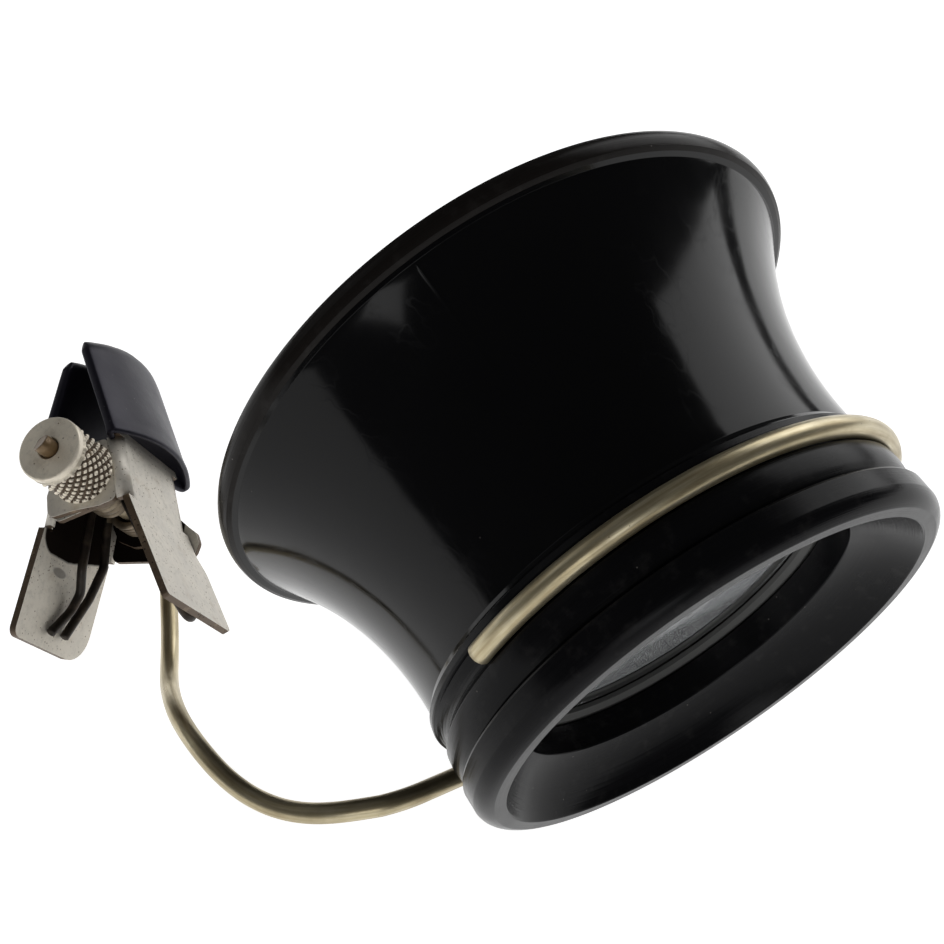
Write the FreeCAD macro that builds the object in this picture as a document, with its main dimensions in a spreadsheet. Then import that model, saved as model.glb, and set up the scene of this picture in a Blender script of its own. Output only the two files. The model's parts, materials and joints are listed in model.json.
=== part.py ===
import FreeCAD, Part
import math
import os
import Sketcher

# Viewing loupe: a flared eyecup with a screwed lens ring, held by a wire frame on a
# sprung spectacle clip.  Millimetres, +Z up, lying on its side on a flat surface.
# Three frames are used.
#   row frame : +Z up, the surface at Z = 0, the eye end of the cup towards +Y.
#   cup frame : Z along the optical axis from the lens end, where Z = 0, to the eye end.
#   clip frame: Z along the pivot from the thumb nut to the wire's elbow, X from the rear
#               plate to the front plate, Y from the jaws to the finger levers.

DIMENSIONS = {
    # placing of the cup and of the clip in the row frame
    "cup_x": 5.41, "cup_y": -20.48, "cup_z": 14.20,
    "clip_x": -17.56, "clip_y": 13.51, "clip_z": 12.24,
    "clip_yaw": -44.64, "clip_pitch": -14.38, "clip_roll": -152.36,
    # eyecup, outside
    "cup_front_z": 2.16, "bead_front_r": 14.38, "bead_back_r": 14.5, "bead_bow": 3.0,
    "groove_front_z": 4.02, "groove_back_z": 5.38, "groove_round": 0.72,
    "collar_end_z": 5.92, "neck_r": 14.08, "neck_z": 6.2,
    "flare_start_z": 7.0, "flare_bow": 21.3, "flare_end_z": 20.3, "rim_groove_r": 18.5,
    "rim_groove_z": 20.42, "rim_edge_r": 19.12, "rim_start_z": 20.58, "rim_end_z": 21.8,
    "rim_bow": 1.15,
    # eyecup, inside
    "thread_r": 12.7, "thread_end_z": 4.55, "seat_r": 11.12, "seat_end_z": 8.1,
    "stop_r": 9.9, "stop_end_z": 9.0, "bowl_r": 12.3, "bowl_z": 9.7, "bowl_bow": 22.0,
    "bowl_mouth_r": 17.5, "bowl_mouth_z": 20.9, "mouth_r": 18.0,
    # front ring
    "face_in_r": 13.22, "face_out_r": 14.0, "ring_r": 14.72, "ring_edge_z": 0.85,
    "ring_edge_bow": 1.1, "ring_back_z": 1.95, "ring_back_r": 14.6, "ring_end_z": 2.08,
    "spigot_r": 12.62, "spigot_end_z": 4.45, "ledge_r": 10.42, "ledge_z": 2.6,
    "dish_bow": 6.0,
    # retaining ring and lens
    "retainer_r": 11.05, "retainer_in_r": 9.95, "retainer_z": 4.5, "retainer_end_z": 5.05,
    "retainer_lip_r": 10.3, "retainer_lip_z": 4.75,
    "lens_r": 11.05, "lens_front_z": 5.1, "lens_back_z": 8.05, "lens_clear_r": 9.85,
    "lens_bow": 62.0,
    # wire frame
    "wire_r": 0.6, "loop_r": 14.66, "loop_z": 4.7, "loop_start": 67.0, "loop_end": 144.2,
    "loop_run": 2.37, "elbow_z": 10.9, "elbow_round": 1.65, "axle_end_z": -5.1,
    "axle_point_r": 0.34, "axle_point": 0.35,
    # clip plates
    "sheet": 0.45, "plate_width": 8.0, "pivot_hole_r": 1.0, "rear_plate_z": 0.62,
    "front_lever_corner": 0.45, "rear_lever_corner": 2.1,
    # jaw sleeves
    "sleeve_half_width": 4.9, "sleeve_edge": 0.5, "sleeve_outer_crown": 1.4,
    "sleeve_inner_crown": 0.72, "slot_thick": 0.49, "slot_width": 8.08, "slot_gap": 0.03,
    "front_sleeve_length": 7.4, "rear_sleeve_length": 6.2, "sleeve_over": 0.6, "sleeve_shift": 0.3,
    # pivot tube
    "tube_r": 0.95, "tube_bore_r": 0.67, "tube_start_z": -0.03, "tube_end_z": 9.15,
    "tube_head_r": 1.75, "tube_head_z": 8.67, "tube_brim_z": 8.8, "tube_bow": 1.9,
    # torsion spring
    "spring_wire_r": 0.28, "coil_r": 1.42, "coil_pitch": 0.46, "coil_turns": 5,
    "coil_near_z": 1.45, "coil_far_z": 5.4,
    # thumb nut
    "nut_r": 2.1, "nut_bore_r": 0.66, "nut_front_z": -4.25, "nut_back_z": -0.12,
    "nut_collar_z": -3.72, "nut_neck_r": 1.78, "nut_neck_z": -3.5, "nut_face_r": 1.85,
    "nut_edge_z": -4.12, "nut_foot_z": -0.3,
}
# the flare's arc leaves the neck parallel to the axis
flare_run = DIMENSIONS["flare_end_z"] - DIMENSIONS["flare_start_z"]
flare_drop = math.sqrt(DIMENSIONS["flare_bow"] ** 2 - flare_run ** 2)
DIMENSIONS["flare_end_r"] = DIMENSIONS["neck_r"] + DIMENSIONS["flare_bow"] - flare_drop
# how far each face of the lens swells past its flat edge
lens_rise = math.sqrt(DIMENSIONS["lens_bow"] ** 2 - DIMENSIONS["lens_clear_r"] ** 2)
lens_sag = DIMENSIONS["lens_bow"] - lens_rise
DIMENSIONS["lens_front_top"] = DIMENSIONS["lens_front_z"] - lens_sag
DIMENSIONS["lens_back_top"] = DIMENSIONS["lens_back_z"] + lens_sag

doc = FreeCAD.newDocument("viewing_loupe")
sheet = doc.addObject("Spreadsheet::Sheet", "Sheet")
for row, (alias, value) in enumerate(DIMENSIONS.items(), start=1):
    sheet.set("A%d" % row, alias)
    sheet.set("B%d" % row, "%.6f" % value)
    sheet.setAlias("B%d" % row, alias)
doc.recompute()


def size(name):
    """The value of a cell of the sheet, or the number itself."""
    return float(sheet.get(name)) if isinstance(name, str) else float(name)


def vector(x, y, z=0.0):
    return FreeCAD.Vector(size(x), size(y), size(z))


# ---------------------------------------------------------------- placements

# the rim and the front ring both touch the surface, so the cup leans nose down
rim_widest_z = 0.5 * (size("rim_start_z") + size("rim_end_z"))
rim_half_width = 0.5 * (size("rim_end_z") - size("rim_start_z"))
rim_rise = size("rim_bow") - math.sqrt(size("rim_bow") ** 2 - rim_half_width ** 2)
lean = size("rim_edge_r") + rim_rise - size("ring_r")
cup_tilt = math.degrees(math.atan2(lean, rim_widest_z - size("ring_edge_z")))
cup_place = FreeCAD.Placement(
    vector("cup_x", "cup_y", "cup_z"),
    FreeCAD.Rotation(FreeCAD.Vector(1, 0, 0), cup_tilt - 90.0),
)
clip_place = FreeCAD.Placement(
    vector("clip_x", "clip_y", "clip_z"),
    FreeCAD.Rotation(size("clip_yaw"), size("clip_pitch"), size("clip_roll")),
)


# ---------------------------------------------------------------- building helpers

def new_body(label, placement):
    body = doc.addObject("PartDesign::Body", label)
    body.Label = label
    body.Placement = placement
    return body


def origin_plane(body, role):
    return next(item for item in body.Origin.OriginFeatures if item.Role == role)


def bowed(start, end, radius):
    """The arc between two points, anticlockwise; a positive radius bows it to the left."""
    along = end - start
    rise = math.sqrt(radius ** 2 - (along.Length / 2) ** 2)
    side = FreeCAD.Vector(-along.y, along.x, 0).normalize()
    centre = (start + end) * 0.5 - side * math.copysign(rise, radius)
    first, last = (end, start) if radius > 0 else (start, end)
    angles = [math.atan2(point.y - centre.y, point.x - centre.x) for point in (first, last)]
    circle = Part.Circle(centre, FreeCAD.Vector(0, 0, 1), abs(radius))
    return Part.ArcOfCircle(circle, angles[0], angles[1])


def pin_point(sketch, geometry, end, corner):
    """Hold one point of the sketch at a corner whose numbers are cells of the sheet."""
    for kind, axis, value in (("DistanceX", -2, corner[0]), ("DistanceY", -1, corner[1])):
        if value == 0:
            sketch.addConstraint(Sketcher.Constraint("PointOnObject", geometry, end, axis))
            continue
        index = sketch.addConstraint(Sketcher.Constraint(kind, -1, 1, geometry, end, size(value)))
        if isinstance(value, str):
            sketch.setExpression("Constraints[%d]" % index, "Sheet." + value)


def outline(body, name, role, corners, bows=None, lift=None):
    """A closed sketch through corners on one of the body's own planes.

    bows gives the radius of each run that is an arc, by the number of its first corner.
    """
    bows = bows or {}
    sketch = body.newObject("Sketcher::SketchObject", name)
    sketch.AttachmentSupport = [(origin_plane(body, role), "")]
    sketch.MapMode = "FlatFace"
    if lift:
        sketch.setExpression("AttachmentOffset.Base.z", lift)
    points = [vector(x, y) for x, y in corners]
    ends = []
    for index, start in enumerate(points):
        finish = points[(index + 1) % len(points)]
        if index in bows:
            sign, radius = bows[index]
            geometry = sketch.addGeometry(bowed(start, finish, sign * size(radius)))
            ends.append((1, 2) if sign < 0 else (2, 1))
            limit = sketch.addConstraint(Sketcher.Constraint("Radius", geometry, size(radius)))
            if isinstance(radius, str):
                sketch.setExpression("Constraints[%d]" % limit, "Sheet." + radius)
        else:
            sketch.addGeometry(Part.LineSegment(start, finish))
            ends.append((1, 2))
    for index, corner in enumerate(corners):
        before = (index - 1) % len(corners)
        join = Sketcher.Constraint("Coincident", before, ends[before][1], index, ends[index][0])
        sketch.addConstraint(join)
        pin_point(sketch, index, ends[index][0], corner)
    return sketch


def revolved(label, placement, corners, bows=None):
    """A body turned about its own Z axis from corners given as (radius, z)."""
    body = new_body(label, placement)
    profile = outline(body, label + "_profile", "XZ_Plane", corners, bows)
    turn = body.newObject("PartDesign::Revolution", label + "_turn")
    turn.Profile = profile
    turn.ReferenceAxis = (profile, ["V_Axis"])
    turn.Angle = 360.0
    body.Tip = turn
    profile.Visibility = False
    return body


def feature(label, shape, placement):
    item = doc.addObject("Part::Feature", label)
    item.Label = label
    item.Shape = shape
    item.Placement = placement
    return item


# ---------------------------------------------------------------- cup and lens

eyecup = revolved("eyecup", cup_place, [
    ("thread_r", "cup_front_z"), ("bead_front_r", "cup_front_z"),
    ("bead_back_r", "groove_front_z"), ("bead_back_r", "groove_back_z"),
    ("bead_back_r", "collar_end_z"), ("neck_r", "neck_z"), ("neck_r", "flare_start_z"),
    ("flare_end_r", "flare_end_z"), ("rim_groove_r", "rim_groove_z"),
    ("rim_edge_r", "rim_start_z"), ("rim_edge_r", "rim_end_z"), ("mouth_r", "rim_end_z"),
    ("bowl_mouth_r", "bowl_mouth_z"), ("bowl_r", "bowl_z"), ("stop_r", "stop_end_z"),
    ("stop_r", "seat_end_z"), ("seat_r", "seat_end_z"), ("seat_r", "thread_end_z"),
    ("thread_r", "thread_end_z"),
], {1: (-1, "bead_bow"), 2: (1, "groove_round"), 6: (1, "flare_bow"), 9: (-1, "rim_bow"),
    12: (-1, "bowl_bow")})

front_ring = revolved("front_ring", cup_place, [
    ("face_in_r", 0), ("face_out_r", 0), ("ring_r", "ring_edge_z"), ("ring_r", "ring_back_z"),
    ("ring_back_r", "ring_end_z"), ("spigot_r", "ring_end_z"), ("spigot_r", "spigot_end_z"),
    ("ledge_r", "spigot_end_z"), ("ledge_r", "ledge_z"),
], {1: (-1, "ring_edge_bow"), 8: (1, "dish_bow")})

retaining_ring = revolved("retaining_ring", cup_place, [
    ("retainer_in_r", "retainer_lip_z"), ("retainer_lip_r", "retainer_z"),
    ("retainer_r", "retainer_z"), ("retainer_r", "retainer_end_z"),
    ("retainer_in_r", "retainer_end_z"),
])

lens = revolved("lens", cup_place, [
    (0, "lens_front_top"), ("lens_clear_r", "lens_front_z"), ("lens_r", "lens_front_z"),
    ("lens_r", "lens_back_z"), ("lens_clear_r", "lens_back_z"), (0, "lens_back_top"),
], {0: (-1, "lens_bow"), 4: (-1, "lens_bow")})


# ---------------------------------------------------------------- wire frame

def tangent_arc(before, corner, after, radius):
    """The arc that rounds a corner, with the points where it meets the two runs."""
    to_before = (before - corner).normalize()
    to_after = (after - corner).normalize()
    half = to_before.getAngle(to_after) / 2
    reach = radius / math.tan(half)
    centre_way = (to_before + to_after).normalize()
    centre = corner + centre_way * (radius / math.sin(half))
    middle = centre - centre_way * radius
    return corner + to_before * reach, middle, corner + to_after * reach


def rounded_route(points, radii):
    """Straight runs joined by tangent arcs; a radius of None is as large as the runs allow."""
    edges = []
    start = points[0]
    for index in range(1, len(points) - 1):
        before, corner, after = points[index - 1:index + 2]
        radius = radii[index]
        if radius is None:
            run = min((corner - before).Length, (after - corner).Length)
            turn = math.pi - (before - corner).getAngle(after - corner)
            radius = 0.47 * run / math.tan(turn / 2)
        first, middle, last = tangent_arc(before, corner, after, radius)
        edges.append(Part.LineSegment(start, first).toShape())
        edges.append(Part.Arc(first, middle, last).toShape())
        start = last
    edges.append(Part.LineSegment(start, points[-1]).toShape())
    return edges


def on_loop(degrees):
    """A point of the loop's centre line; 0 is at the top and 90 on the clip's side."""
    angle = math.radians(degrees)
    flat = FreeCAD.Vector(-math.sin(angle), -math.cos(angle), 0) * size("loop_r")
    return cup_place.multVec(flat + vector(0, 0, "loop_z"))


# corners of the arm between the loop and the elbow, from the cup's lens end
ARM_CORNERS = [
    (-17.77, 5.76, -6.72), (-22.75, 10.28, -9.45), (-24.36, 17.45, -8.41),
    (-22.71, 24.22, -12.64), (-21.15, 27.73, -13.5),
]


def build_wire():
    loop_first = on_loop(size("loop_start"))
    loop_last = on_loop(size("loop_end"))
    loop_middle = on_loop((size("loop_start") + size("loop_end") - 360) / 2)
    loop_edge = Part.Arc(loop_first, loop_middle, loop_last).toShape()
    along = on_loop(size("loop_end") - 0.5) - on_loop(size("loop_end") + 0.5)
    along.normalize()
    nose = vector("cup_x", "cup_y", "cup_z")
    elbow = clip_place.multVec(vector(0, 0, "elbow_z"))
    axle_end = clip_place.multVec(vector(0, 0, "axle_end_z"))
    route = [loop_last, loop_last + along * size("loop_run")]
    route += [nose + FreeCAD.Vector(*corner) for corner in ARM_CORNERS]
    route += [elbow, axle_end]
    radii = [None] * (len(route) - 2) + [size("elbow_round"), None]
    path = Part.Wire([loop_edge] + rounded_route(route, radii))
    tangent = loop_edge.tangentAt(loop_edge.FirstParameter)
    circle = Part.Wire(Part.Circle(loop_first, tangent, size("wire_r")).toShape())
    rod = path.makePipeShell([circle], True, True)
    thrust = (axle_end - elbow).normalize()
    point = Part.makeCone(
        size("wire_r"), size("axle_point_r"), size("axle_point"), axle_end, thrust)
    return rod.fuse(point).removeSplitter()


wire_frame = feature("wire_frame", build_wire(), FreeCAD.Placement())


# ---------------------------------------------------------------- clip plates

# outer faces of the two plates, jaw tip first, in the clip frame
FRONT_FACE = [(-1.55, -8.9), (1.75, -2.9), (3.45, 1.4), (7.45, 7.72)]
REAR_FACE = [(-3.4, -7.7), (-3.85, -1.95), (-3.05, -0.6), (-3.05, 3.4), (-3.6, 10.4)]
FRONT_NEAR_EAR = [
    (1.55, -2.75), (3.2, 1.3), (1.42, 2.1), (-0.3, 2.45), (-2.1, 3.0), (-2.52, 1.5),
    (-2.3, -0.6), (-1.1, -1.9), (0.4, -2.3),
]
FRONT_FAR_EAR = [
    (1.55, -2.75), (3.2, 1.3), (1.42, 2.1), (-0.3, 2.3), (-1.6, 1.85), (-2.25, 0.8),
    (-2.25, -0.6), (-1.1, -1.9), (0.4, -2.3),
]
REAR_NEAR_EAR = [
    (-3.25, -1.5), (-0.4, -2.0), (1.1, -1.5), (1.85, -0.3), (1.7, 0.9), (0.8, 1.9), (-2.85, 3.1),
]
REAR_FAR_EAR = [
    (-3.25, -1.5), (-0.4, -2.0), (3.2, 0.1), (4.0, 0.75), (4.32, 1.6), (4.2, 2.5), (3.5, 3.0),
    (-2.85, 3.2),
]


def offset_line(points, gap):
    """The same bent line, moved gap to the left of the way it goes."""
    normals = []
    for (ax, ay), (bx, by) in zip(points, points[1:]):
        run = math.hypot(bx - ax, by - ay)
        normals.append((-(by - ay) / run, (bx - ax) / run))
    moved = []
    for index, (x, y) in enumerate(points):
        first = normals[max(index - 1, 0)]
        second = normals[min(index, len(normals) - 1)]
        reach = gap / (1 + first[0] * second[0] + first[1] * second[1])
        moved.append((x + (first[0] + second[0]) * reach, y + (first[1] + second[1]) * reach))
    return moved


def pad(body, name, corners, length, lift=None):
    profile = outline(body, name + "_profile", "XY_Plane", corners, lift=lift)
    block = body.newObject("PartDesign::Pad", name)
    block.Profile = profile
    block.setExpression("Length", length)
    profile.Visibility = False
    body.Tip = block
    return block


def clip_plate(label, face, inward, ears, start, corner_radius):
    """A bent plate with two ears; each ear is (corners, z of its first face)."""
    body = new_body(label, clip_place)
    strip = face + offset_line(face, inward * size("sheet"))[::-1]
    pad(body, label + "_strip", strip, "Sheet.plate_width", start)
    for index, (corners, lift) in enumerate(ears):
        pad(body, "%s_ear_%d" % (label, index), corners, "Sheet.sheet", lift)
    hole = outline_circle(body, label + "_hole_profile", "pivot_hole_r")
    bore = body.newObject("PartDesign::Pocket", label + "_hole")
    bore.Profile = hole
    bore.Type = "ThroughAll"
    bore.Midplane = True
    body.Tip = bore
    doc.recompute()
    round_lever(body, label, face[-1], corner_radius)
    return body


def outline_circle(body, name, radius):
    sketch = body.newObject("Sketcher::SketchObject", name)
    sketch.AttachmentSupport = [(origin_plane(body, "XY_Plane"), "")]
    sketch.MapMode = "FlatFace"
    centre = FreeCAD.Vector(0, 0, 0)
    sketch.addGeometry(Part.Circle(centre, FreeCAD.Vector(0, 0, 1), size(radius)))
    sketch.addConstraint(Sketcher.Constraint("Coincident", 0, 3, -1, 1))
    index = sketch.addConstraint(Sketcher.Constraint("Radius", 0, size(radius)))
    sketch.setExpression("Constraints[%d]" % index, "Sheet." + radius)
    sketch.Visibility = False
    return sketch


def round_lever(body, label, tip, radius):
    """Round the two corners of the finger lever's end."""
    plate = body.Tip
    corners = []
    for number, edge in enumerate(plate.Shape.Edges, start=1):
        middle = edge.CenterOfMass
        near_tip = math.hypot(middle.x - tip[0], middle.y - tip[1]) < 2 * size("sheet")
        if near_tip and edge.Length < 1.5 * size("sheet"):
            if abs(edge.Vertexes[0].Z - edge.Vertexes[-1].Z) < 1e-6:
                corners.append("Edge%d" % number)
    fillet = body.newObject("PartDesign::Fillet", label + "_corners")
    fillet.Base = (plate, corners)
    fillet.setExpression("Radius", radius)
    body.Tip = fillet


front_clip_plate = clip_plate(
    "front_clip_plate", FRONT_FACE, 1,
    [(FRONT_NEAR_EAR, None), (FRONT_FAR_EAR, "Sheet.plate_width - Sheet.sheet")], None,
    "Sheet.front_lever_corner")
rear_clip_plate = clip_plate(
    "rear_clip_plate", REAR_FACE, -1,
    [(REAR_NEAR_EAR, "Sheet.rear_plate_z"),
     (REAR_FAR_EAR, "Sheet.rear_plate_z + Sheet.plate_width - Sheet.sheet")],
    "Sheet.rear_plate_z", "Sheet.rear_lever_corner")


# ---------------------------------------------------------------- jaw sleeves

def crowned_bar(length):
    """A flat bar with round edges and swelling faces, from the origin along Z, wide along Y."""
    edge = size("sleeve_edge")
    wide = size("sleeve_half_width")
    flat = wide - edge
    outer = size("sleeve_outer_crown")
    inner = size("sleeve_inner_crown")
    arcs = [
        ((-edge, -flat), (-outer, 0), (-edge, flat)), ((-edge, flat), (0, wide), (edge, flat)),
        ((edge, flat), (inner, 0), (edge, -flat)), ((edge, -flat), (0, -wide), (-edge, -flat)),
    ]
    edges = [Part.Arc(*[FreeCAD.Vector(x, y, 0) for x, y in arc]).toShape() for arc in arcs]
    return Part.Face(Part.Wire(edges)).extrude(FreeCAD.Vector(0, 0, length))


def jaw_sleeve(label, face, inward, length, middle_z):
    """A flattened tube pushed over a jaw, open at the end nearer the pivot."""
    tip, root = face[0], face[1]
    along = FreeCAD.Vector(root[0] - tip[0], root[1] - tip[1], 0).normalize()
    inside = FreeCAD.Vector(-along.y, along.x, 0) * inward
    start = FreeCAD.Vector(tip[0], tip[1], middle_z) + inside * size("sheet") * 0.5
    start -= along * size("sleeve_over")
    corner = FreeCAD.Vector(
        -size("slot_thick") / 2, -size("slot_width") / 2 - size("sleeve_shift") * inward,
        size("sleeve_over") - size("slot_gap"))
    slot = Part.makeBox(size("slot_thick"), size("slot_width"), length, corner)
    start.z += size("sleeve_shift")
    across = FreeCAD.Vector(0, 0, inward)
    turn = FreeCAD.Rotation(inside, across, along, "ZYX")
    local = FreeCAD.Placement(start, turn)
    return feature(label, crowned_bar(length).cut(slot), clip_place.multiply(local))


front_jaw_sleeve = jaw_sleeve(
    "front_jaw_sleeve", FRONT_FACE, 1, size("front_sleeve_length"), size("plate_width") / 2)
rear_jaw_sleeve = jaw_sleeve(
    "rear_jaw_sleeve", REAR_FACE, -1, size("rear_sleeve_length"),
    size("rear_plate_z") + size("plate_width") / 2)


# ---------------------------------------------------------------- pivot tube and thumb nut

pivot_tube = revolved("pivot_tube", clip_place, [
    ("tube_bore_r", "tube_start_z"), ("tube_r", "tube_start_z"), ("tube_r", "tube_head_z"),
    ("tube_head_r", "tube_head_z"), ("tube_head_r", "tube_brim_z"),
    ("tube_bore_r", "tube_end_z"),
], {4: (-1, "tube_bow")})

thumb_nut = revolved("thumb_nut", clip_place, [
    ("nut_bore_r", "nut_front_z"), ("nut_face_r", "nut_front_z"), ("nut_r", "nut_edge_z"),
    ("nut_r", "nut_collar_z"), ("nut_neck_r", "nut_collar_z"), ("nut_neck_r", "nut_neck_z"),
    ("nut_r", "nut_neck_z"), ("nut_r", "nut_foot_z"), ("nut_face_r", "nut_back_z"),
    ("nut_bore_r", "nut_back_z"),
])


# ---------------------------------------------------------------- torsion spring

# bends of the two legs along the rear lever, and of the two that a short run joins into a
# loop on the front lever
REAR_LEGS = [
    [(-1.5, 5.0, 3.9), (-1.9, 6.4, 4.9), (-2.35, 7.6, 4.95), (-2.72, 9.4, 3.75)],
    [(-1.5, 4.2, 6.35), (-2.1, 6.4, 6.3), (-2.72, 9.3, 5.3)],
]
FRONT_LEGS = [
    [(4.27, 4.13, 2.0), (5.96, 6.8, 2.9), (6.68, 7.94, 3.9)],
    [(4.27, 4.13, 6.2), (5.96, 6.8, 5.4), (6.68, 7.94, 4.7)],
]


def rod(start, end, radius):
    along = end - start
    return Part.makeCylinder(radius, along.Length, start, along)


def leg(start, bends, radius):
    """Straight runs from bend to bend, each bend filled by a ball."""
    pieces = []
    for bend in bends:
        finish = FreeCAD.Vector(*bend)
        pieces.append(rod(start, finish, radius))
        pieces.append(Part.makeSphere(radius, finish))
        start = finish
    return pieces


def build_spring():
    """Two coils about the pivot, joined by a loop; each coil's turns are closed rings."""
    wire = size("spring_wire_r")
    coil = size("coil_r")
    reach = size("coil_pitch") * (size("coil_turns") - 1)
    pieces = []
    for first in (size("coil_near_z"), size("coil_far_z")):
        for turn in range(int(size("coil_turns"))):
            centre = FreeCAD.Vector(0, 0, first + turn * size("coil_pitch"))
            pieces.append(Part.makeTorus(coil, wire, centre))
    rear_starts = [size("coil_near_z") + reach, size("coil_far_z")]
    for z, bends in zip(rear_starts, REAR_LEGS):
        pieces += leg(FreeCAD.Vector(-coil, 0, z), bends, wire)
    front_starts = [size("coil_near_z"), size("coil_far_z") + reach]
    for z, bends in zip(front_starts, FRONT_LEGS):
        pieces += leg(FreeCAD.Vector(coil, 0, z), bends, wire)
    loop_ends = [FreeCAD.Vector(*bends[-1]) for bends in FRONT_LEGS]
    pieces.append(rod(loop_ends[0], loop_ends[1], wire))
    spring = pieces[0]
    for piece in pieces[1:]:
        spring = spring.fuse(piece)
    return spring


torsion_spring = feature("torsion_spring", build_spring(), clip_place)

NODES = [
    eyecup, front_ring, retaining_ring, lens, wire_frame, front_clip_plate, rear_clip_plate,
    front_jaw_sleeve, rear_jaw_sleeve, pivot_tube, thumb_nut, torsion_spring,
]

# ---------------------------------------------------------------- checks and export

doc.recompute()
for item in doc.Objects:
    faults = {"Invalid", "Error"} & set(item.State)
    if faults:
        raise RuntimeError("%s is %s" % (item.Label, ", ".join(faults)))
for node in NODES:
    if node.Shape.isNull() or not node.Shape.isValid():
        raise RuntimeError("%s has no valid shape" % node.Label)
    box = node.Shape.optimalBoundingBox(True, False)
    print("%-18s %8.2f mm3  %d solid  x %.2f %.2f  y %.2f %.2f  z %.2f %.2f" % (
        node.Label, node.Shape.Volume, len(node.Shape.Solids),
        box.XMin, box.XMax, box.YMin, box.YMax, box.ZMin, box.ZMax))

os.makedirs("parts", exist_ok=True)
for node in NODES:
    node.Shape.exportStep("parts/%s.step" % node.Label)
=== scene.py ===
import json
import math

import bpy
import bmesh
from mathutils import Euler, Matrix, Vector


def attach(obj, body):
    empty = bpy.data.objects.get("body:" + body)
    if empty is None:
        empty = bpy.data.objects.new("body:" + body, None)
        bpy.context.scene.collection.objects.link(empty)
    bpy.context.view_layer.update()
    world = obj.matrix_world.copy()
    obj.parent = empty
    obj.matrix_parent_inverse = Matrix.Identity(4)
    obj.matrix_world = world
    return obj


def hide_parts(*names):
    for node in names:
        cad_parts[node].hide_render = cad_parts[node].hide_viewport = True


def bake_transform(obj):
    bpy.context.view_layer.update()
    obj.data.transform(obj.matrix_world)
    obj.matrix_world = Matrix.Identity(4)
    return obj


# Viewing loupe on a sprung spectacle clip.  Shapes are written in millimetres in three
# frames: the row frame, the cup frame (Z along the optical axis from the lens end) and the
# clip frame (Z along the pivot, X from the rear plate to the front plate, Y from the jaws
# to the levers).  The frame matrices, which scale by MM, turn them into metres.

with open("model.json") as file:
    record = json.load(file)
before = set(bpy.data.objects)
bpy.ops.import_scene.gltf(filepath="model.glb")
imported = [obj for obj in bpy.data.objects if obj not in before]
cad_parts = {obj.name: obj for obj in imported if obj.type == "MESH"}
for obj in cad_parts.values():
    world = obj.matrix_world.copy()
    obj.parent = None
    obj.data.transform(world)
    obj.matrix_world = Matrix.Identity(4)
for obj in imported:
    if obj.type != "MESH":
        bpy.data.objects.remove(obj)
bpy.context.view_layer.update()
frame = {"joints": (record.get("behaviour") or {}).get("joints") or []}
joints = {joint["name"]: joint for joint in frame["joints"]}

MM = 0.001


def frame_matrix(origin, rotation):
    return Matrix.Translation(origin) @ rotation.to_4x4() @ Matrix.Scale(MM, 4)


def cup_frame():
    joint = joints["front_ring_turn"]
    z_way = Vector(joint["axis"])
    x_way = Vector((1, 0, 0))
    return frame_matrix(Vector(joint["pos_m"]), Matrix((x_way, z_way.cross(x_way), z_way)).transposed())


CLIP_TURN = Euler([math.radians(angle) for angle in (-152.36, -14.38, -44.64)], "XYZ")
CUP = cup_frame()
CLIP = frame_matrix(Vector(joints["clip_swivel"]["pos_m"]), CLIP_TURN.to_matrix())
ROW = Matrix.Scale(MM, 4)


# ---------------------------------------------------------------- meshes

def new_mesh(name, points, faces, where, uvs=None, smooth=True):
    """A mesh object from points in a frame's millimetres; uvs holds one (u, v) per point."""
    mesh = bpy.data.meshes.new(name)
    mesh.from_pydata([where @ Vector(point) for point in points], [], faces)
    if uvs:
        layer = mesh.uv_layers.new(name="UVMap")
        for loop in mesh.loops:
            layer.data[loop.index].uv = uvs[loop.vertex_index]
    mesh.polygons.foreach_set("use_smooth", [smooth] * len(mesh.polygons))
    tidy = bmesh.new()
    tidy.from_mesh(mesh)
    bmesh.ops.recalc_face_normals(tidy, faces=tidy.faces)
    tidy.to_mesh(mesh)
    tidy.free()
    return in_scene(name, mesh)


def in_scene(name, data):
    """A new object in the scene that holds the data."""
    obj = bpy.data.objects.new(name, data)
    bpy.context.scene.collection.objects.link(obj)
    return obj


def vectors(points):
    return [Vector(point) for point in points]


def polar(radius, angle):
    return Vector((radius * math.cos(angle), radius * math.sin(angle)))


STRAIGHT_ENOUGH = math.radians(88.5)
MOST_OF_A_RUN = 0.48


def rounded(corners, radii, steps, closed=True):
    """The corners joined by straight runs, each corner rounded to its radius."""
    count = len(corners)
    corners = vectors(corners)
    line = []
    for index, corner in enumerate(corners):
        radius = radii[index] if isinstance(radii, (list, tuple)) else radii
        ends = not closed and index in (0, count - 1)
        if ends or radius <= 0:
            line.append(corner)
            continue
        before = corners[index - 1] - corner
        after = corners[(index + 1) % count] - corner
        half = before.angle(after) / 2
        if half > STRAIGHT_ENOUGH:
            line.append(corner)
            continue
        longest = MOST_OF_A_RUN * min(before.length, after.length)
        reach = min(radius / math.tan(half), longest)
        radius = reach * math.tan(half)
        way = (before.normalized() + after.normalized()).normalized()
        centre = corner + way * (radius / math.sin(half))
        start = corner + before.normalized() * reach - centre
        finish = corner + after.normalized() * reach - centre
        for step in range(steps + 1):
            arm = start.lerp(finish, step / steps)
            line.append(centre + arm.normalized() * radius)
    return line


# a corner that turns by more than SHARP gets a guard point GUARD millimetres to each side
SHARP = math.radians(10)
GUARD = 0.02


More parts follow.
